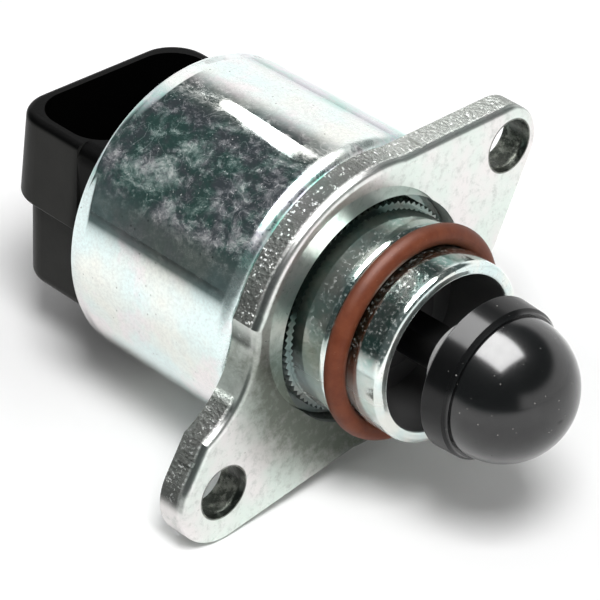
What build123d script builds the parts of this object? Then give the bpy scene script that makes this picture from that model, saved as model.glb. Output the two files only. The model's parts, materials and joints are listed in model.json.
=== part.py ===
from build123d import *
import math
import os

os.makedirs("parts", exist_ok=True)

# Frame: X runs along the valve axis towards the pintle, Z is the way the
# connector opens, the origin lies in the mounting face midway between the two
# bolt holes. Shapes are drawn about the valve axis and moved there by save().
# All in mm.

# motor can
can_r = 18.2
can_wall = 0.9
can_back_x = -29.2
can_lip = 1.9
can_front_round = 1.5
can_back_round = 1.2
can_front_hole_r = 9.5

# mounting flange
flange_t = 3.7
bolt_spacing = 49.0
bolt_hole_r = 3.1
ear_angle = 33.2
upper_hole_u = 23.5
upper_tip_r = 4.8
upper_tip_inset = 0.4
upper_taper = 32.5
lower_tip_r = 6.0
lower_tip_inset = 0.0
lower_tip_drop = 0.5
lower_taper = 27.5
lower_back_taper = 24.5
notch_r = 11.6
notch_u = -22.3
notch_v = 18.7
disc_r = 17.6
centre_hole_r = 13.3
edge_roll = 0.75
dish_shift = 3.0
dish_depth = 0.3
dish_angle = 103.3
burr = 0.35
step_width = 0.5
upper_step_angle = 35.0
lower_step_run = 2.6

# snout
base_gap = 0.1
base_t = 1.5
knurl_count = 84
knurl_height = 0.6
knurl_depth = 0.35
knurl_width = 1.3
barrel_r = 11.75
barrel_round = 0.8
groove_back_x = 4.5
groove_width = 2.8
ring_section = 2.3
ring_stand = 0.85
nose_step = 1.2
nose_x = 11.2
nose_wall = 1.4
web_x = 0.5
web_t = 2.0

# pintle and lead screw
bore_gap = 0.3
collar_back_x = 15.7
collar_front_x = 19.0
dome_step = 0.8
neck_r = 4.2
neck_back_x = 12.0
screw_r = 2.5
screw_back_x = -19.5
screw_front_x = 17.0
screw_flat = 1.85
thread_gap = 0.08
seat_gap = 0.01

# rotor
hub_r = 5.0
magnet_r = 8.8
magnet_back_x = -22.5
magnet_front_x = -6.5
front_journal_r = 4.0
back_journal_r = 3.2
run_gap = 0.05
hub_back_x = -27.2
hub_shoulder_x = -23.2
hub_front_x = 0.1
washer_t = 0.6

# front ball bearing
bearing_r = 8.0
bearing_w = 3.8
bearing_back_x = -3.6
ball_r = 1.2
ball_count = 9
ball_pitch_r = 6.0
ball_gap = 0.03
race_land = 0.75
cage_t = 0.5
cage_w = 3.3

# stator
plate_t = 0.9
phase_len = 9.0
stack_back_x = -23.3
claw_count = 6
claw_len = 6.6
claw_w = 3.4
claw_r = 9.2
claw_t = 0.8
stack_gap = 0.05
bobbin_r = 10.3
bobbin_wall = 0.7
bobbin_gap = 0.7

# end cap with connector shroud
cap_gap = 0.15
cap_disc_t = 4.3
shroud_back_x = -46.4
shroud_front_x = -33.4
shroud_half_y = 13.2
shroud_top_z = 9.6
shroud_foot_z = -1.0
shroud_round = 5.4
shroud_wall = 2.2
shroud_draft = 3.9
rim_round = 0.9
foot_round = 0.4
neck_half_y = 12.6
body_back_x = -45.2
body_half_y = 11.7
body_foot_z = -12.4
socket_front_x = -32.2
socket_floor_z = -6.0
socket_step = 1.3
bush_r = 4.6
seal_section = 1.8

# terminals
pin_count = 4
pin_pitch = 4.0
pin_w = 1.5
pin_t = 0.8
pin_tip_z = 3.6
pin_x = -38.2
foot_z = -9.4

# derived places
flange_back_x = -flange_t
can_in_r = can_r - can_wall
can_lip_r = can_r - can_lip
knurl_r = barrel_r + knurl_height
ring_mean_r = barrel_r + ring_stand - ring_section / 2
nose_r = barrel_r - nose_step
bore_r = nose_r - nose_wall
collar_r = bore_r - bore_gap
dome_r = collar_r - dome_step
axis_shift = bolt_spacing / 2 - upper_hole_u
axis_y = axis_shift * math.cos(math.radians(ear_angle))
axis_z = axis_shift * math.sin(math.radians(ear_angle))


def turned(points, rounds=()):
    """Solid of revolution about X from (x, radius) points."""
    face = make_face(Polyline(*points, close=True))
    for x, r, size in rounds:
        corner = face.vertices().sort_by_distance((x, r, 0))[0]
        face = fillet(corner, size)
    return revolve(face, Axis.X)


def tube(x0, x1, outer, inner):
    return turned([(x0, inner), (x1, inner), (x1, outer), (x0, outer)])


def rod(x0, x1, r):
    return turned([(x0, 0), (x1, 0), (x1, r), (x0, r)])


def ring(x, mean_r, section_r):
    return revolve(Pos(x, mean_r) * Circle(section_r), Axis.X)


def around_x(shape, count, start=0.0):
    return [Rot(start + i * 360 / count, 0, 0) * shape for i in range(count)]


def block(x0, x1, half_y, z0, z1, corner=0.0, back_only=False, draft=0.0):
    """Box along Z whose upright edges are rounded and whose sides lean in by the draft."""
    outline = Pos((x0 + x1) / 2, 0) * Rectangle(x1 - x0, 2 * half_y)
    if corner > 0:
        corners = outline.vertices()
        if back_only:
            corners = corners.sort_by(Axis.X)[:2]
        outline = fillet(corners, corner)
    return Pos(0, 0, z0) * extrude(outline, z1 - z0, taper=draft)


def save(name, shape):
    shape = shape if isinstance(shape, Compound) else Compound([shape])
    export_step(Pos(0, axis_y, axis_z) * shape, f"parts/{name}.step")


# motor can: drawn cup with the front wall behind the flange and a rolled back lip
can = turned(
    [
        (can_back_x, can_lip_r),
        (can_back_x + can_wall, can_lip_r),
        (can_back_x + can_wall, can_in_r),
        (flange_back_x - can_wall, can_in_r),
        (flange_back_x - can_wall, can_front_hole_r),
        (flange_back_x, can_front_hole_r),
        (flange_back_x, can_r),
        (can_back_x, can_r),
    ],
    [(can_back_x, can_r, can_back_round), (flange_back_x, can_r, can_front_round)],
)
save("motor_can", can)

# mounting flange: disc and two unequal tapered ears cut from plate. The outline
# is drawn with u along the line of the bolt holes and v across it.
lower_hole_u = upper_hole_u - bolt_spacing
ear_root = 0.58 * disc_r


def ear_edge(tip, tip_r, side, taper):
    """Point where the round tip runs into the straight side above (1) or below (-1)."""
    way = math.copysign(1, tip[0])
    slope = math.radians(taper)
    return (tip[0] + way * tip_r * math.sin(slope), tip[1] + side * tip_r * math.cos(slope))


def ear(tip, tip_r, taper_up, taper_down):
    """Ear with a round tip and a side tapered to the disc above and below it."""
    way = math.copysign(1, tip[0])
    corners = []
    for side, taper in ((1, taper_up), (-1, taper_down)):
        edge = ear_edge(tip, tip_r, side, taper)
        rise = (abs(edge[0]) - ear_root) * math.tan(math.radians(taper))
        root = (way * ear_root, edge[1] + side * rise)
        corners += [edge, root] if side > 0 else [root, edge]
    return make_face(Polyline(*corners, close=True)) + Pos(*tip) * Circle(tip_r)


upper_tip = (upper_hole_u - upper_tip_inset, 0)
lower_tip = (lower_hole_u + lower_tip_inset, -lower_tip_drop)
outline = Circle(disc_r)
outline += ear(upper_tip, upper_tip_r, upper_taper, upper_taper)
outline += ear(lower_tip, lower_tip_r, lower_taper, lower_back_taper)
outline -= Pos(notch_u, notch_v) * Circle(notch_r)
plate = extrude(outline, flange_t)
rim = plate.edges().filter_by_position(Axis.Z, flange_t - 0.01, flange_t + 0.01)
plate = fillet(rim, edge_roll)
for hole_u in (upper_hole_u, lower_hole_u):
    plate -= Pos(hole_u, 0) * extrude(Circle(bolt_hole_r), flange_t)
plate -= extrude(Circle(centre_hole_r), flange_t)
dish_way = math.radians(dish_angle)
dish_rim = Pos(dish_shift * math.cos(dish_way), dish_shift * math.sin(dish_way), flange_t)
dish = loft([Pos(0, 0, flange_t - dish_depth) * Circle(centre_hole_r), dish_rim * Circle(centre_hole_r)])
plate -= dish
# shear steps left by the die on the upper side of each ear
nib = Box(step_width, 2 * burr, flange_t - 2 * edge_roll)
upper_edge = ear_edge(upper_tip, upper_tip_r, 1, upper_taper)
upper_slope = math.radians(upper_taper)
upper_off = upper_edge[0] * math.sin(upper_slope) + upper_edge[1] * math.cos(upper_slope)
step_way = math.radians(upper_step_angle)
step_r = upper_off / math.cos(math.pi / 2 - upper_slope - step_way)
step_place = Pos(step_r * math.cos(step_way), step_r * math.sin(step_way), flange_t / 2)
plate += step_place * Rot(0, 0, -upper_taper) * nib
lower_edge = ear_edge(lower_tip, lower_tip_r, 1, lower_taper)
lower_slope = math.radians(lower_taper)
step_u = lower_edge[0] + lower_step_run * math.cos(lower_slope)
step_v = lower_edge[1] + lower_step_run * math.sin(lower_slope)
plate += Pos(step_u, step_v, flange_t / 2) * Rot(0, 0, lower_taper) * nib
ear_plane = Plane(origin=(flange_back_x, 0, 0), x_dir=(0, 1, 0), z_dir=(1, 0, 0))
flange = ear_plane * Rot(0, 0, ear_angle) * plate
save("mounting_flange", flange)

# snout: base pressed in the flange, knurled root, ring groove, open nose
base_r = centre_hole_r - base_gap
groove_front_x = groove_back_x + groove_width
groove_r = ring_mean_r - ring_section / 2 - 0.02
pocket_front_x = bearing_back_x + bearing_w + 0.1
snout = turned(
    [
        (flange_back_x, bearing_r + 0.02),
        (pocket_front_x, bearing_r + 0.02),
        (pocket_front_x, hub_r + 0.5),
        (web_x + web_t, hub_r + 0.5),
        (web_x + web_t, bore_r),
        (nose_x, bore_r),
        (nose_x, nose_r),
        (groove_front_x, nose_r),
        (groove_front_x, groove_r),
        (groove_back_x, groove_r),
        (groove_back_x, barrel_r),
        (flange_back_x + base_t, barrel_r),
        (flange_back_x + base_t, base_r),
        (flange_back_x, base_r),
    ],
    [
        (nose_x, nose_r, 0.7),
        (nose_x, bore_r, 0.3),
        (groove_front_x, nose_r, 0.2),
        (groove_back_x, barrel_r, barrel_round),
    ],
)
teeth = []
for i in range(knurl_count):
    a = 2 * math.pi * i / knurl_count
    b = 2 * math.pi * (i + 0.5) / knurl_count
    teeth.append((knurl_r * math.cos(a), knurl_r * math.sin(a)))
    teeth.append(((knurl_r - knurl_depth) * math.cos(b), (knurl_r - knurl_depth) * math.sin(b)))
knurl = extrude(make_face(Polyline(*teeth, close=True)), knurl_width) - extrude(Circle(barrel_r - 1), knurl_width)
knurl_plane = Plane(origin=(flange_back_x + base_t, 0, 0), x_dir=(0, 1, 0), z_dir=(1, 0, 0))
snout += knurl_plane * knurl
save("snout", snout)

ring_x = groove_back_x + ring_section / 2 + 0.02
save("snout_o_ring", ring(ring_x, ring_mean_r, ring_section / 2))

# guide bush: round outside, flats inside keep the lead screw from turning
bush_front_x = web_x + web_t + 1.0
guide = rod(web_x, bush_front_x, hub_r + 0.48)
key = rod(web_x, bush_front_x, screw_r + run_gap)
key &= Pos((web_x + bush_front_x) / 2, 0, 0) * Box(20, 20, 2 * (screw_flat + run_gap))
save("guide_bush", guide - key)

# lead screw with two flats along the guided length
screw = turned(
    [(screw_back_x, 0), (screw_front_x, 0), (screw_front_x, screw_r), (screw_back_x, screw_r)],
    [(screw_back_x, screw_r, 0.4)],
)
flat_x0 = web_x - 2.5
flat_x1 = neck_back_x
for way in (1, -1):
    cut = Box(flat_x1 - flat_x0, 20, 4)
    screw -= Pos((flat_x0 + flat_x1) / 2, 0, way * (screw_flat + 2)) * cut
save("lead_screw", screw)

# pintle: dome, collar and tapered back moulded on the lead screw
dome_start = collar_front_x
pintle_side = [
    (neck_back_x, 0),
    (neck_back_x, neck_r),
    (neck_back_x + 1.2, neck_r),
    (collar_back_x - 1.1, collar_r - 1.5),
    (collar_back_x - 0.3, collar_r - 0.35),
    (collar_back_x, collar_r),
    (collar_front_x - 0.55, collar_r - 0.15),
    (collar_front_x, collar_r - 0.55),
    (collar_front_x, dome_r),
]
tip = (dome_start + dome_r, 0)
mid = (dome_start + dome_r * math.sin(math.pi / 4), dome_r * math.cos(math.pi / 4))
side = Polyline(*pintle_side)
crown = ThreePointArc((dome_start, dome_r), mid, tip)
closing = Line(tip, (neck_back_x, 0))
pintle = revolve(make_face([side, crown, closing]), Axis.X)
pintle -= rod(neck_back_x, screw_front_x + seat_gap, screw_r + seat_gap)
save("pintle", pintle)

# rotor: threaded hub, ring magnet and thrust washer
hub = turned(
    [
        (hub_back_x, screw_r + thread_gap),
        (hub_front_x, screw_r + thread_gap),
        (hub_front_x, front_journal_r),
        (bearing_back_x - 0.02, front_journal_r),
        (bearing_back_x - 0.02, hub_r),
        (hub_shoulder_x, hub_r),
        (hub_shoulder_x, back_journal_r),
        (hub_back_x, back_journal_r),
    ]
)
save("rotor_hub", hub)
magnet = tube(magnet_back_x, magnet_front_x, magnet_r, hub_r + 0.02)
save("rotor_magnet", magnet)
save("thrust_washer", tube(hub_shoulder_x - washer_t - 0.02, hub_shoulder_x - 0.02, hub_r, back_journal_r + 0.02))

# front ball bearing
bearing_front_x = bearing_back_x + bearing_w
bearing_x = (bearing_back_x + bearing_front_x) / 2
track = ring(bearing_x, ball_pitch_r, ball_r + ball_gap)
save("bearing_outer_race", tube(bearing_back_x, bearing_front_x, bearing_r, ball_pitch_r + race_land) - track)
inner_race = tube(bearing_back_x, bearing_front_x, ball_pitch_r - race_land, front_journal_r + 0.01)
save("bearing_inner_race", inner_race - track)
ball = Pos(bearing_x, ball_pitch_r, 0) * Sphere(ball_r)
save("bearing_balls", Compound(around_x(ball, ball_count)))
cage = tube(bearing_x - cage_w / 2, bearing_x + cage_w / 2, ball_pitch_r + cage_t / 2, ball_pitch_r - cage_t / 2)
for pocket in around_x(Pos(bearing_x, ball_pitch_r, 0) * Sphere(ball_r + ball_gap), ball_count):
    cage -= pocket
save("bearing_cage", cage)

# stator: four clawed plates, two bobbins and two windings
claw = Pos(claw_len / 2, 0, claw_r + claw_t / 2) * Box(claw_len, claw_w, claw_t)
plate_starts = [
    stack_back_x,
    stack_back_x + phase_len - plate_t,
    stack_back_x + phase_len,
    stack_back_x + 2 * phase_len - plate_t,
]
stator_r = can_in_r - 0.1
bobbin_out_r = can_in_r - bobbin_gap
for i, x0 in enumerate(plate_starts):
    forward = i % 2 == 0
    stator = tube(x0, x0 + plate_t, stator_r, claw_r)
    root = x0 + plate_t if forward else x0
    one = Pos(root - 0.3, 0, 0) * claw if forward else Pos(root + 0.3 - claw_len, 0, 0) * claw
    start = (0 if forward else 180 / claw_count) + (0 if i < 2 else 90 / claw_count)
    for tooth in around_x(one, claw_count, start):
        stator += tooth
    stator -= rod(x0 - claw_len, x0 + plate_t + claw_len, claw_r)
    save(f"stator_plate_{i + 1}", stator)
for name, x0 in (("back", plate_starts[0]), ("front", plate_starts[2])):
    b0 = x0 + plate_t + stack_gap
    b1 = x0 + phase_len - plate_t - stack_gap
    bobbin = tube(b0, b1, bobbin_out_r, bobbin_r)
    space = tube(b0 + bobbin_wall, b1 - bobbin_wall, bobbin_out_r + 1, bobbin_r + bobbin_wall)
    save(f"bobbin_{name}", bobbin - space)
    winding = tube(b0 + bobbin_wall + 0.02, b1 - bobbin_wall - 0.02, bobbin_out_r - 0.5, bobbin_r + bobbin_wall + 0.02)
    save(f"winding_{name}", winding)

# terminals: blades standing in the socket with feet leading to the coils
disc_back_x = can_back_x + can_wall
disc_front_x = disc_back_x + cap_disc_t
pins = []
for i in range(pin_count):
    y = (i - (pin_count - 1) / 2) * pin_pitch
    blade = Pos(pin_x, y, (pin_tip_z + foot_z) / 2) * Box(pin_t, pin_w, pin_tip_z - foot_z)
    top = blade.edges().filter_by_position(Axis.Z, pin_tip_z - 0.01, pin_tip_z + 0.01)
    blade = chamfer(top, 0.25)
    foot_len = disc_front_x + 0.4 - pin_x
    foot = Pos(pin_x + foot_len / 2, y, foot_z + pin_t / 2) * Box(foot_len, pin_w, pin_t)
    pins.append(blade + foot)
    save(f"terminal_{i + 1}", pins[-1])

# end cap: disc closed in the can, neck, connector shroud and socket
disc_r_in = can_in_r - cap_gap
seal_x = (disc_back_x + disc_front_x) / 2
seal_r = seal_section / 2
seal_mean_r = can_in_r - 0.02 - seal_r
cap = rod(disc_back_x, disc_front_x, disc_r_in)
seal_groove_r = seal_mean_r - seal_r - 0.02
cap -= tube(seal_x - seal_r - 0.2, seal_x + seal_r + 0.2, disc_r_in + 1, seal_groove_r)
neck_face = Rectangle(2 * neck_half_y, shroud_top_z - body_foot_z)
neck_corners = neck_face.vertices().sort_by(Axis.Y)
neck_face = fillet(neck_corners[:2], 4.0)
neck_face = fillet(neck_face.vertices().sort_by(Axis.Y)[-2:], 2.0)
neck_plane = Plane(origin=(shroud_front_x - 1.0, 0, 0), x_dir=(0, 1, 0), z_dir=(1, 0, 0))
neck_mid_z = (shroud_top_z + body_foot_z) / 2
neck = neck_plane * Pos(0, neck_mid_z) * extrude(neck_face, disc_back_x + 0.5 - shroud_front_x + 1.0)
shroud = block(
    shroud_back_x, shroud_front_x, shroud_half_y, shroud_foot_z, shroud_top_z, shroud_round, True, shroud_draft
)
shroud_rims = shroud.edges().filter_by_position(Axis.Z, shroud_top_z - 0.01, shroud_top_z + 0.01)
shroud = fillet(shroud_rims.sort_by(Axis.X)[:-1], rim_round)
shroud_feet = shroud.edges().filter_by_position(Axis.Z, shroud_foot_z - 0.01, shroud_foot_z + 0.01)
shroud = fillet(shroud_feet, foot_round)
body = block(body_back_x, shroud_front_x, body_half_y, body_foot_z, shroud_foot_z + 1.0, 4.0, True)
body_feet = body.edges().filter_by_position(Axis.Z, body_foot_z - 0.01, body_foot_z + 0.01)
body = fillet(body_feet, 1.4)
cap = cap + neck + shroud + body
socket_back_x = shroud_back_x + shroud_wall
socket_half_y = shroud_half_y - shroud_wall
cap -= block(socket_back_x, socket_front_x, socket_half_y, shroud_foot_z + 1.0, shroud_top_z + 1, 4.4)
cap -= block(
    socket_back_x + socket_step,
    socket_front_x - socket_step,
    socket_half_y - socket_step,
    socket_floor_z,
    shroud_foot_z + 2.0,
    3.0,
)
cap -= rod(hub_back_x - 0.3, disc_front_x + 1, bush_r)
cap -= rod(screw_back_x - 11.3, hub_back_x, screw_r + 0.6)
for pin in pins:
    cap -= pin
save("end_cap", cap)
save("can_seal_ring", ring(seal_x, seal_mean_r, seal_r))
save("rear_bush", tube(hub_back_x - 0.2, disc_front_x - 0.05, bush_r - 0.02, back_journal_r + run_gap))
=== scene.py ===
import json
import math

import bpy
from mathutils import Matrix, Vector


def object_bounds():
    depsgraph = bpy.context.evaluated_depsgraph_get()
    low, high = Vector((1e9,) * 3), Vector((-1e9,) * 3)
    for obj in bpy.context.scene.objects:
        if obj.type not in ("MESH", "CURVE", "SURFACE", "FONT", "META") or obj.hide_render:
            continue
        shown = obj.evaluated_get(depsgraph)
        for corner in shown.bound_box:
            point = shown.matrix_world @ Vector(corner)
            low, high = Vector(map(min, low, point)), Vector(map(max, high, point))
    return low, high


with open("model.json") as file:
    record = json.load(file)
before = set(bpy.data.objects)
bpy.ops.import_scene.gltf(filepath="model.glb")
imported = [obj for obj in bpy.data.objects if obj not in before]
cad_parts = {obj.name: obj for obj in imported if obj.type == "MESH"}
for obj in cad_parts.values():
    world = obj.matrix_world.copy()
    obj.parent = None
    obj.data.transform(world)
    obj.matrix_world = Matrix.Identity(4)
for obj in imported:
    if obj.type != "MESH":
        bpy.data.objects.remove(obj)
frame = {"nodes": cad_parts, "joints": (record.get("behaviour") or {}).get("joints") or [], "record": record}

cadLow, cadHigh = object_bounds()
nodes = frame["nodes"]
mm = 0.001
scene = bpy.context.scene
axisPlace = Vector(next(j["pos_m"] for j in frame["joints"] if j["name"] == "rotor_spin"))
boltReach = 24.5  # mm from the frame's origin to either bolt hole
boltHoles = [way * boltReach * axisPlace.normalized() - axisPlace / mm for way in (1, -1)]
print("frame loaded")


# shader maths: a socket that can be added, scaled and mixed
class Wire:
    def __init__(self, tree, socket):
        self.tree = tree
        self.socket = socket

    def make(self, kind, settings=None, values=None, out=0):
        made = self.tree.nodes.new(kind)
        for key, value in (settings or {}).items():
            setattr(made, key, value)
        for key, value in (values or {}).items():
            plug(self.tree, made.inputs[key], value)
        return Wire(self.tree, made.outputs[out])

    def maths(self, operation, *others):
        values = dict(enumerate((self, *others)))
        return self.make("ShaderNodeMath", {"operation": operation}, values)

    def __add__(self, other):
        return self.maths("ADD", other)

    def __radd__(self, other):
        return self.maths("ADD", other)

    def __sub__(self, other):
        return self.maths("SUBTRACT", other)

    def __rsub__(self, other):
        return self.maths("MULTIPLY_ADD", -1.0, other)

    def __mul__(self, other):
        return self.maths("MULTIPLY", other)

    def __rmul__(self, other):
        return self.maths("MULTIPLY", other)

    def capped(self):
        return self.maths("MINIMUM", 1.0)

    def ramp(self, low, high):
        settings = {"interpolation_type": "SMOOTHSTEP"}
        values = {"Value": self, "From Min": low, "From Max": high}
        return self.make("ShaderNodeMapRange", settings, values)

    # near a noise's middle value, which gives thin winding lines
    def line(self, width, middle=0.5):
        return (self - middle).maths("ABSOLUTE").ramp(width, 0.0)

    def mix(self, first, second):
        values = {0: self, 6: first, 7: second}
        return self.make("ShaderNodeMix", {"data_type": "RGBA"}, values, 2)

    def stretch(self, x, y, z):
        values = {0: self, 1: (x, y, z)}
        return self.make("ShaderNodeVectorMath", {"operation": "MULTIPLY"}, values)

    def length(self):
        return self.make("ShaderNodeVectorMath", {"operation": "LENGTH"}, {0: self}, "Value")

    def axis(self, index):
        return self.make("ShaderNodeSeparateXYZ", None, {0: self}, index)

    def noise(self, scale, detail=4.0, roughness=0.55, distortion=0.0):
        values = {"Vector": self, "Scale": scale, "Detail": detail}
        values |= {"Roughness": roughness, "Distortion": distortion}
        return self.make("ShaderNodeTexNoise", None, values)

    def cells(self, scale):
        return self.make("ShaderNodeTexVoronoi", None, {"Vector": self, "Scale": scale})

    def bump(self, strength, distance, normal=None):
        values = {"Height": self, "Strength": strength, "Distance": distance}
        if normal is not None:
            values["Normal"] = normal
        return self.make("ShaderNodeBump", None, values)


def plug(tree, socket, value):
    if isinstance(value, Wire):
        tree.links.new(value.socket, socket)
        return
    if socket.type == "RGBA" and len(value) == 3:
        value = (*value, 1.0)
    socket.default_value = value


# every material is a principled shader fed by a function of the place,
# in mm from the rotor's axis at the mounting face, and of the way the surface faces
def material(name, build):
    made = bpy.data.materials.new(name)
    made.use_nodes = True
    tree = made.node_tree
    shader = tree.nodes["Principled BSDF"]
    start = Wire(tree, None)
    place = start.make("ShaderNodeTexCoord", None, None, "Object")
    place = place.make("ShaderNodeVectorMath", {"operation": "SUBTRACT"}, {0: place, 1: axisPlace})
    place = place.make("ShaderNodeVectorMath", {"operation": "SCALE"}, {0: place, "Scale": 1 / mm})
    facing = start.make("ShaderNodeNewGeometry", None, None, "Normal")
    for key, value in build(place, facing).items():
        plug(tree, shader.inputs[key], value)
    return made


canLook = {
    "zinc": (0.72, 0.85, 0.84),
    "warmZinc": (0.82, 0.83, 0.77),
    "blush": (0.86, 0.77, 0.79),
    "greenStain": (0.21, 0.48, 0.42),
    "violetStain": (0.46, 0.44, 0.52),
    "pit": (0.13, 0.13, 0.12),
    "scuff": (0.82, 0.82, 0.80),
    "grain": (0.42, 0.44, 0.43),
    "stained": (8.0, 10.5),  # height over which stains and scuffs come in
    "crest": (17.7, 17.0),  # height over which the stains end again
    "corner": (-5.7, -5.0),  # along the axis, where the front corner turns dull
    "flare": (-28.6, -26.6),  # along the axis, where the back end opens
    "blushAmount": 0.7,
    "stainAmount": 0.85,
    "smearAmount": 0.55,
    "scuffAmount": 0.48,
    "hairAmount": 0.35,
    "wornOutsideTop": 0.15,
    "wornColour": 0.75,
    "wornMetal": 0.50,
    "pitAmount": 0.75,
    "dotAmount": 0.4,
    "grainAmount": 0.30,
    "roughness": 0.02,
    "cornerRoughness": 0.24,
}


def canZinc(place, facing):
    look = canLook
    x, z = place.axis(0), place.axis(2)
    tint = place.noise(0.10, 3.0).ramp(0.35, 0.65)
    blush = place.stretch(1.0, 1.3, 0.8).noise(0.16, 4.0, 0.6).ramp(0.50, 0.66)
    tone = tint.mix(look["zinc"], look["warmZinc"])
    tone = (blush * look["blushAmount"]).mix(tone, look["blush"])

    # dark stains on the top
    top = z.ramp(*look["stained"])
    stain = place.noise(0.24, 6.0, 0.65).ramp(0.40, 0.60)
    stain = stain.mix(look["greenStain"], look["violetStain"])
    tone = (top * z.ramp(*look["crest"]) * look["stainAmount"]).mix(tone, stain)

    # pale scuffs over the stains, few elsewhere
    area = place.noise(0.11, 3.0).ramp(0.38, 0.52)
    smear = place.stretch(1.0, 1.5, 1.0).noise(0.22, 12.0, 0.70, 0.5).ramp(0.49, 0.66)
    scuff = place.stretch(1.0, 1.4, 1.0).noise(0.60, 12.0, 0.78, 0.3).ramp(0.49, 0.62)
    hair = place.noise(0.28, 1.5, 0.5, 0.6).line(0.007)
    fleck = place.noise(3.2, 4.0, 0.7).ramp(0.62, 0.70) * (0.3 + area * 0.7)
    marks = smear * look["smearAmount"] + scuff * look["scuffAmount"] + hair * look["hairAmount"] + fleck
    spread = look["wornOutsideTop"] + top * (1.0 - look["wornOutsideTop"])
    worn = marks.capped() * spread

    pits = place.cells(0.9).ramp(0.13, 0.05) * place.noise(0.25).ramp(0.45, 0.55)
    dots = place.noise(5.0, 3.0, 0.7).ramp(0.66, 0.74) * place.noise(0.3).ramp(0.42, 0.55)
    tone = (pits * look["pitAmount"] + dots * look["dotAmount"]).capped().mix(tone, look["pit"])
    tone = (worn * look["wornColour"]).mix(tone, look["scuff"])
    grain = place.noise(2.6, 8.0, 0.7).ramp(0.38, 0.66)
    tone = (grain * look["grainAmount"]).mix(tone, look["grain"])

    cloud = place.noise(0.5, 6.0, 0.65)
    dull = x.ramp(*look["corner"]) * look["cornerRoughness"]
    ripple = place.noise(2.2, 5.0, 0.7).bump(0.012, 0.00004)
    swirl = place.noise(0.25, 4.0, 0.6).bump(0.010, 0.0003, ripple)
    return {
        "Base Color": tone,
        "Metallic": 1.0 - worn * look["wornMetal"],
        "Roughness": look["roughness"] + cloud * 0.02 + worn * 0.10 + dull,
        "Normal": x.ramp(*look["flare"]).bump(1.0, 0.0005, swirl),
    }


flangeLook = {
    "zinc": (0.70, 0.77, 0.72),
    "warmZinc": (0.78, 0.75, 0.74),
    "mottle": (0.40, 0.43, 0.40),
    "scratch": (0.85, 0.86, 0.83),
    "paintedFaceShade": (0.17, 0.19, 0.16),
    "rolled": (0.10, 0.11, 0.105),
    "torn": (0.036, 0.039, 0.035),
    "tornPaintedLight": (0.20, 0.21, 0.195),
    "facetsAndGlints": (0.72, 0.74, 0.72),
    "bore": (0.035, 0.04, 0.032),
    "boreWorn": (0.20, 0.21, 0.18),
    "speck": (0.16, 0.15, 0.13),
    "boreWall": (3.35, 3.2),  # radius round a bolt hole
    "paintedFaceShadeRing": (23.0, 15.5),  # radius round the snout, where the face's painted shade fades out
    "tornDepth": (-0.7, -1.3),  # behind the mounting face
    "rolledDepth": (-1.3, -0.9),
    "mottleAmount": 0.45,
    "scratchAmount": 0.5,
    "tornAmount": 0.95,
    "facetsAndGlintsAmount": 0.85,
    "boreAmount": 0.9,
    "speckAmount": 0.6,
    "roughness": 0.22,
}


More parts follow.
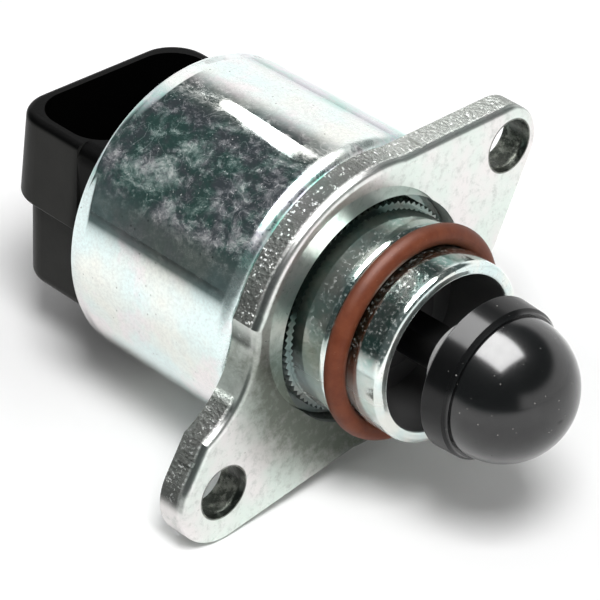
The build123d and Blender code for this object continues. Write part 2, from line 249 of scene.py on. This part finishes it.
def flangeZinc(place, facing):
    look = flangeLook
    x, y, z = (place.axis(i) for i in range(3))
    tilt, lift = facing.axis(0).maths("ABSOLUTE"), facing.axis(2)
    side = 1.0 - tilt.ramp(0.15, 0.45)
    radius = place.stretch(0.0, 1.0, 1.0).length()
    bolts = [
        place.make("ShaderNodeCombineXYZ", None, {1: y - hole.y, 2: z - hole.z}).length()
        for hole in boltHoles
    ]
    bored = bolts[0].maths("MINIMUM", bolts[1]).ramp(*look["boreWall"])

    # the tip's underside and the bottom of the notch are smooth
    notch = y.ramp(-11.0, -13.0) * z.ramp(2.6, 1.6) * z.ramp(-4.2, -3.0)
    smooth = lift.ramp(0.20, -0.10).maths("MAXIMUM", notch)
    torn = side * x.ramp(*look["tornDepth"]) * (1.0 - smooth * 0.9)
    rolled = tilt.ramp(0.80, 0.45) * x.ramp(*look["rolledDepth"]) * (1.0 - smooth)

    # the face: mottled zinc with scratches, and a mottled painted shade below the snout
    tint = place.noise(0.13, 3.0).ramp(0.35, 0.65)
    mottle = place.noise(0.8, 8.0, 0.72)
    tone = tint.mix(look["zinc"], look["warmZinc"])
    tone = (mottle.ramp(0.48, 0.66) * look["mottleAmount"]).mix(tone, look["mottle"])
    scratch = place.noise(0.5, 3.0, 0.6, 0.8).line(0.010) * place.noise(0.2).ramp(0.45, 0.55)
    tone = (scratch * look["scratchAmount"]).mix(tone, look["scratch"])
    paintedFaceShade = radius.ramp(*look["paintedFaceShadeRing"]) * (z + y * 0.4).ramp(2.0, -8.0)
    tone = (paintedFaceShade * (0.45 + mottle * 1.1)).capped().mix(tone, look["paintedFaceShade"])
    # the rolled front edge is painted darker, mottled: painted shade
    tone = (rolled * (0.4 + mottle * 0.5)).mix(tone, look["rolled"])

    # the sheared edge: dark and granular, with bright facets; where it faces up it is painted lighter, a
    # painted highlight
    tornTone = (lift.ramp(0.65, 0.95) * y.ramp(-3.0, 6.0)).mix(look["torn"], look["tornPaintedLight"])
    tone = (torn * look["tornAmount"]).mix(tone, tornTone)
    # bright facets of bare metal, with painted glints, more of them towards the top
    facets = place.stretch(0.8, 1.0, 1.0).noise(2.6, 3.0, 0.7).ramp(0.56, 0.66)
    patches = place.noise(0.6, 3.0).ramp(0.38, 0.52) * (0.5 + z.ramp(-3.0, 6.0) * 0.5)
    facetsAndGlints = torn * facets * patches
    tone = (facetsAndGlints * look["facetsAndGlintsAmount"]).mix(tone, look["facetsAndGlints"])

    boreTone = mottle.ramp(0.45, 0.62).mix(look["bore"], look["boreWorn"])
    tone = (bored * look["boreAmount"]).mix(tone, boreTone)
    speck = place.cells(0.6).ramp(0.09, 0.03) * place.noise(0.4).ramp(0.5, 0.62)
    tone = (speck * look["speckAmount"]).mix(tone, look["speck"])

    lumps = place.stretch(0.7, 1.0, 1.0).cells(2.2) * 0.5 + place.noise(2.6, 6.0, 0.75)
    height = torn * lumps * 3.0 + place.noise(1.6, 6.0, 0.7) * 0.10
    return {
        "Base Color": tone,
        "Metallic": 1.0 - torn * 0.2 - smooth * side * 0.45,
        "Roughness": look["roughness"] + mottle * 0.16 + torn * 0.16 - facetsAndGlints * 0.2,
        "Normal": height.bump(0.5, 0.0003),
    }


snoutLook = {
    "zinc": (0.62, 0.74, 0.73),
    "warmZinc": (0.76, 0.77, 0.72),
    "greenStain": (0.09, 0.19, 0.16),
    "greyStain": (0.24, 0.26, 0.24),
    "speck": (0.06, 0.08, 0.07),
    "fleck": (0.82, 0.84, 0.82),
    "bore": (0.06, 0.06, 0.06),
    "boreWall": (9.3, 9.2),  # radius
    "boreBack": (1.0, 2.0),  # along the axis, as the next ones
    "boreMouth": (11.0, 10.7),
    "lip": (10.6, 10.0),  # stays free of the stain and painted shade
    "nose": (4.0, 6.0),  # stained and painted darker than the barrel
    "base": (0.3, -0.9),  # painted shade where it sits in the flange's hole
    "barrelStainAndShade": 0.62,
    "noseStainAndShade": 0.85,
    "speckAmount": 0.7,
    "baseAmount": 0.55,
    "fleckAmount": 0.55,
    "roughness": 0.06,
}


def snoutZinc(place, facing):
    look = snoutLook
    x, z = place.axis(0), place.axis(2)
    radius = place.stretch(0.0, 1.0, 1.0).length()
    inside = radius.ramp(*look["boreWall"]) * x.ramp(*look["boreBack"]) * x.ramp(*look["boreMouth"])
    tint = place.noise(0.2, 3.0).ramp(0.35, 0.65)
    tone = tint.mix(look["zinc"], look["warmZinc"])

    # stain and painted shade on the upper side, mottled green and grey
    stain = place.noise(0.4, 5.0, 0.65).ramp(0.40, 0.60).mix(look["greenStain"], look["greyStain"])
    amount = look["barrelStainAndShade"] + x.ramp(*look["nose"]) * (look["noseStainAndShade"] - look["barrelStainAndShade"])
    tone = (z.ramp(0.0, 3.5) * x.ramp(*look["lip"]) * amount).mix(tone, stain)

    cloud = place.noise(0.9, 5.0, 0.65)
    fleck = place.noise(2.2, 9.0, 0.74).ramp(0.50, 0.66) * z.ramp(-1.5, 3.5) * x.ramp(0.5, 1.5)
    speck = place.cells(0.9).ramp(0.11, 0.04) * place.noise(0.5).ramp(0.48, 0.58)
    # specks, and painted shade where the snout enters the flange's hole
    specksAndHoleShade = speck * look["speckAmount"] + x.ramp(*look["base"]) * look["baseAmount"]
    tone = specksAndHoleShade.capped().mix(tone, look["speck"])
    tone = (fleck * look["fleckAmount"]).mix(tone, look["fleck"])
    turning = place.stretch(1.0, 0.02, 0.02).noise(5.0, 3.0)
    return {
        "Base Color": inside.mix(tone, look["bore"]),
        "Metallic": (1.0 - inside) * (1.0 - fleck * 0.3 - z.ramp(1.0, -4.0) * 0.4),
        "Roughness": look["roughness"] + cloud * 0.08 + inside * 0.3 + fleck * 0.1,
        "Normal": (turning * 0.4 + cloud * 0.5).bump(0.025, 0.0002),
    }


ringLook = {
    "dark": (0.105, 0.023, 0.008),
    "bright": (0.140, 0.036, 0.014),
    "dust": (0.42, 0.30, 0.24),
    "dustAmount": 0.4,
    "roughness": 0.40,
    "specular": 0.22,
}


def ringRubber(place, facing):
    look = ringLook
    cloud = place.noise(0.6, 5.0, 0.6)
    tone = cloud.ramp(0.3, 0.7).mix(look["dark"], look["bright"])
    dust = place.noise(3.5, 3.0, 0.7).ramp(0.68, 0.78)
    return {
        "Base Color": (dust * look["dustAmount"]).mix(tone, look["dust"]),
        "Roughness": look["roughness"] + cloud * 0.16,
        "Specular IOR Level": look["specular"],
        "Normal": place.noise(3.0, 3.0).bump(0.08, 0.0002),
    }


pintleLook = {
    "black": (0.002, 0.002, 0.0022),
    "paintedSheen": (0.45, 0.45, 0.45),
    "dust": (0.40, 0.39, 0.37),
    "dome": (18.7, 19.0),  # along the axis, in front of the collar
    "back": (15.8, 15.3),  # behind the collar, where a grey sheen is painted
    "dustAmount": 0.6,
    "collarCoat": 0.35,
    "coatRoughness": 0.17,
    "coatIor": 1.6,
    "roughness": 0.40,
    "specular": 0.05,
}


def pintlePlastic(place, facing):
    look = pintleLook
    x = place.axis(0)
    dome, back = x.ramp(*look["dome"]), x.ramp(*look["back"])
    dust = place.cells(1.1).ramp(0.12, 0.05) * place.noise(0.5, 3.0).ramp(0.47, 0.57)
    haze = place.noise(0.5, 5.0, 0.65)
    # behind the collar the black is painted grey: a painted sheen
    tone = (back * (0.4 + haze * 0.6)).mix(look["black"], look["paintedSheen"])
    coat = look["collarCoat"] + (dome + back) * (1.0 - look["collarCoat"])
    wave = place.noise(0.35, 3.0).bump(0.05, 0.0006)
    return {
        "Base Color": (dust * look["dustAmount"]).mix(tone, look["dust"]),
        "Roughness": look["roughness"] + haze * 0.10,
        "Specular IOR Level": look["specular"],
        "Coat Weight": coat * (1.0 - dust) * (0.8 + haze * 0.3),
        "Coat Roughness": look["coatRoughness"],
        "Coat IOR": look["coatIor"],
        "Normal": place.noise(4.0, 4.0, 0.7).bump(0.10, 0.00005, wave),
    }


capLook = {
    "black": (0.022, 0.022, 0.021),
    "paleBlack": (0.032, 0.032, 0.030),
    "top": (0.002, 0.002, 0.002),
    "socket": (0.001, 0.001, 0.001),
    "socketSide": (11.4, 11.15),  # half the socket's width
    "socketBack": (-44.6, -44.3),  # along the axis
    "shaded": (-35.0, -33.2),  # along the axis, close to the can, painted darker: painted shade
    "shadedAmount": 0.85,
    "roughness": 0.28,
    "specular": 0.03,
}


def capPlastic(place, facing):
    look = capLook
    x, y = place.axis(0), place.axis(1)
    # inside the socket the plastic is painted near black: painted shade in the recess
    inside = y.maths("ABSOLUTE").ramp(*look["socketSide"]) * x.ramp(*look["socketBack"])
    grain = place.noise(2.5, 4.0, 0.7)
    tone = place.noise(0.25, 3.0).mix(look["black"], look["paleBlack"])
    shaded = x.ramp(*look["shaded"]) * look["shadedAmount"]
    # upward faces and the side close to the can are painted near black: painted shade
    tone = facing.axis(2).ramp(0.10, 0.60).maths("MAXIMUM", shaded).mix(tone, look["top"])
    return {
        "Base Color": inside.mix(tone, look["socket"]),
        "Roughness": look["roughness"] + grain * 0.12,
        "Specular IOR Level": look["specular"],
        "Normal": grain.bump(0.10, 0.0002),
    }


# pieces that are hidden, or nearly so
def plain(tone, roughness, metallic=0.0):
    def build(place, facing):
        cloud = place.noise(0.8, 4.0, 0.6)
        dark = tuple(0.75 * c for c in tone)
        return {
            "Base Color": cloud.mix(dark, tone),
            "Metallic": metallic,
            "Roughness": roughness - 0.06 + cloud * 0.12,
            "Normal": place.noise(1.6, 3.0).bump(0.08, 0.0002),
        }
    return build


finishes = {
    "can_zinc": canZinc,
    "flange_zinc": flangeZinc,
    "snout_zinc": snoutZinc,
    "ring_rubber": ringRubber,
    "cap_plastic": capPlastic,
    "pintle_plastic": pintlePlastic,
    "screw_steel": plain((0.10, 0.10, 0.10), 0.4, 1.0),
    "guide_plastic": plain((0.02, 0.02, 0.02), 0.5),
    "seal_rubber": plain((0.02, 0.02, 0.02), 0.6),
    "bush_bronze": plain((0.55, 0.38, 0.16), 0.4, 1.0),
    "bearing_steel": plain((0.65, 0.66, 0.68), 0.2, 1.0),
    "cage_brass": plain((0.60, 0.45, 0.20), 0.35, 1.0),
    "hub_plastic": plain((0.70, 0.66, 0.55), 0.45),
    "magnet_ferrite": plain((0.05, 0.05, 0.055), 0.55, 0.3),
    "washer_steel": plain((0.60, 0.60, 0.60), 0.3, 1.0),
    "winding_copper": plain((0.55, 0.22, 0.08), 0.35, 1.0),
    "bobbin_plastic": plain((0.75, 0.72, 0.62), 0.5),
    "terminal_tin": plain((0.70, 0.68, 0.62), 0.3, 1.0),
    "stator_steel": plain((0.55, 0.57, 0.57), 0.35, 1.0),
}
skins = {name: material(name, build) for name, build in finishes.items()}
for part in frame["record"]["subparts"]:
    node = nodes[part["node"]]
    node.data.materials.clear()
    node.data.materials.append(skins[part["material_slot"]])
print("materials set")


floorLook = {
    "size": 6.0,
    "paper": (0.90, 0.90, 0.90),
    "palePaper": (0.92, 0.92, 0.92),
    "dim": (0.14, 0.17, 0.17),
    "glow": (0.64, 0.64, 0.64),
    "nearGlow": (30.0, 60.0),  # mm from the axis
    "farGlow": (120.0, 500.0),
    "paperEdge": (-60.0, -240.0),  # mm in front of the axis
    "nearShare": 0.38,
}
bpy.ops.mesh.primitive_plane_add(size=floorLook["size"], location=(0, 0, cadLow.z))
floor = bpy.context.object
floor.name = "floor"


# white away from the part, for the camera and reflections only;
# beyond the paper's front edge reflections see the dim room
def floorPaper(place, facing):
    look = floorLook
    x, y = place.axis(0), place.axis(1)
    rays = ("Is Camera Ray", "Is Glossy Ray", "Is Transmission Ray")
    straight, mirrored, through = (place.make("ShaderNodeLightPath", None, None, ray) for ray in rays)
    edge = mirrored * y.ramp(*look["paperEdge"])
    near = place.stretch(0.7, 1.0, 0.0).length().ramp(*look["nearGlow"])
    far = place.stretch(1.0, 1.0, 0.0).length().ramp(*look["farGlow"])
    # behind the part, reflections see the paper lifted: painted light over the part's shadow
    behind = mirrored * y.ramp(10.0, 35.0) * x.ramp(10.0, -10.0)
    glow = (near * look["nearShare"] + far * (1.0 - look["nearShare"])) * (1.0 - edge)
    glow = (glow + behind * look["nearShare"]) * (straight + mirrored + through).capped()
    paper = place.noise(0.02, 3.0).mix(look["paper"], look["palePaper"])
    return {
        "Base Color": edge.mix(paper, look["dim"]),
        "Roughness": 0.9,
        "Specular IOR Level": 0.1,
        "Emission Color": glow.mix((0.0, 0.0, 0.0), look["glow"]),
        "Emission Strength": 1.0,
    }


floor.data.materials.append(material("floor_paper", floorPaper))
print("floor laid")


# a softbox above the camera for light and shade, kept out of reflections
softbox = {"place": Vector((0.21, -0.17, 0.44)), "size": 0.18, "power": 2.6}
lamp = bpy.data.lights.new("softbox", "AREA")
lamp.shape = "SQUARE"
lamp.size = softbox["size"]
lamp.energy = softbox["power"]
lampHolder = bpy.data.objects.new("softbox", lamp)
lampHolder.location = softbox["place"]
lampHolder.rotation_euler = (-softbox["place"]).to_track_quat("-Z", "Y").to_euler()
lampHolder.visible_glossy = False
scene.collection.objects.link(lampHolder)

# bright cards that only reflections see; the strip makes the streak along the can
cards = {
    "box": {
        "height": 0.40,
        "glow": 15.0,
        "corners": [(-0.24, -0.22), (0.17, -0.25), (0.17, 0.10), (-0.24, 0.13)],
    },
    "strip": {
        "height": 0.40,
        "glow": 4.5,
        "corners": [(-0.382, 0.237), (-0.355, 0.159), (-0.312, 0.092), (-0.337, 0.195)],
    },
}
for name, card in cards.items():
    mesh = bpy.data.meshes.new("card_" + name)
    mesh.from_pydata([(*corner, card["height"]) for corner in card["corners"]], [], [(0, 1, 2, 3)])
    sheet = bpy.data.objects.new("card_" + name, mesh)
    scene.collection.objects.link(sheet)
    paint = bpy.data.materials.new("card_" + name)
    paint.use_nodes = True
    tree = paint.node_tree
    tree.nodes.remove(tree.nodes["Principled BSDF"])
    light = Wire(tree, None).make("ShaderNodeEmission", None, {"Strength": card["glow"]})
    plug(tree, tree.nodes["Material Output"].inputs["Surface"], light)
    sheet.data.materials.append(paint)
    sheet.visible_camera = False
    sheet.visible_diffuse = False
    sheet.visible_shadow = False

# even fill from the front; reflections see a dim room with a pale wall behind instead
room = {
    "fill": (0.50, 0.50, 0.50),
    "fillFrom": (0.5, -0.4, 0.77),
    "fillSpan": (-0.15, 0.85),
    "dark": (0.085, 0.105, 0.105),
    "wall": (1.25, 1.25, 1.25),
    "wallTop": 0.49,
    "wallLean": 0.17,
    "wallEdge": 0.10,
    "wallTurn": 0.3,
    "wallSpan": (-0.25, 0.05),
}
world = bpy.data.worlds.new("room")
scene.world = world
world.use_nodes = True
tree = world.node_tree
start = Wire(tree, None)
way = start.make("ShaderNodeTexCoord", None, None, "Generated")
wayX, wayY, wayZ = (way.axis(i) for i in range(3))
fromX, fromY, fromZ = room["fillFrom"]
fill = (wayX * fromX + wayY * fromY + wayZ * fromZ).ramp(*room["fillSpan"])
rise = wayZ + wayX * room["wallLean"]
wall = rise.ramp(room["wallTop"] + room["wallEdge"], room["wallTop"] - room["wallEdge"])
wall = wall * (wayY + wayX * room["wallTurn"]).ramp(*room["wallSpan"])
mirrored = start.make("ShaderNodeLightPath", None, None, "Is Glossy Ray")
air = mirrored.mix(fill.mix((0.0, 0.0, 0.0), room["fill"]), wall.mix(room["dark"], room["wall"]))
plug(tree, tree.nodes["Background"].inputs["Color"], air)
print("lights placed")


# camera, fitted to the photo
view = {
    "place": Vector((210.56, -223.26, 200.03)) * mm + axisPlace,
    "right": Vector((0.6908, 0.7220, 0.0390)),
    "forward": Vector((-0.5911, 0.5950, -0.5446)),
    "angle": math.radians(10),
    "nearest": 0.01,
}
forward = view["forward"].normalized()
right = (view["right"] - view["right"].dot(forward) * forward).normalized()
turn = Matrix((right, right.cross(forward), -forward)).transposed().to_4x4()
lens = bpy.data.cameras.new("camera")
lens.angle = view["angle"]
lens.clip_start = view["nearest"]
camera = bpy.data.objects.new("camera", lens)
camera.matrix_world = Matrix.Translation(view["place"]) @ turn
scene.collection.objects.link(camera)
scene.camera = camera
scene.view_settings.view_transform = "Standard"
print("camera placed")
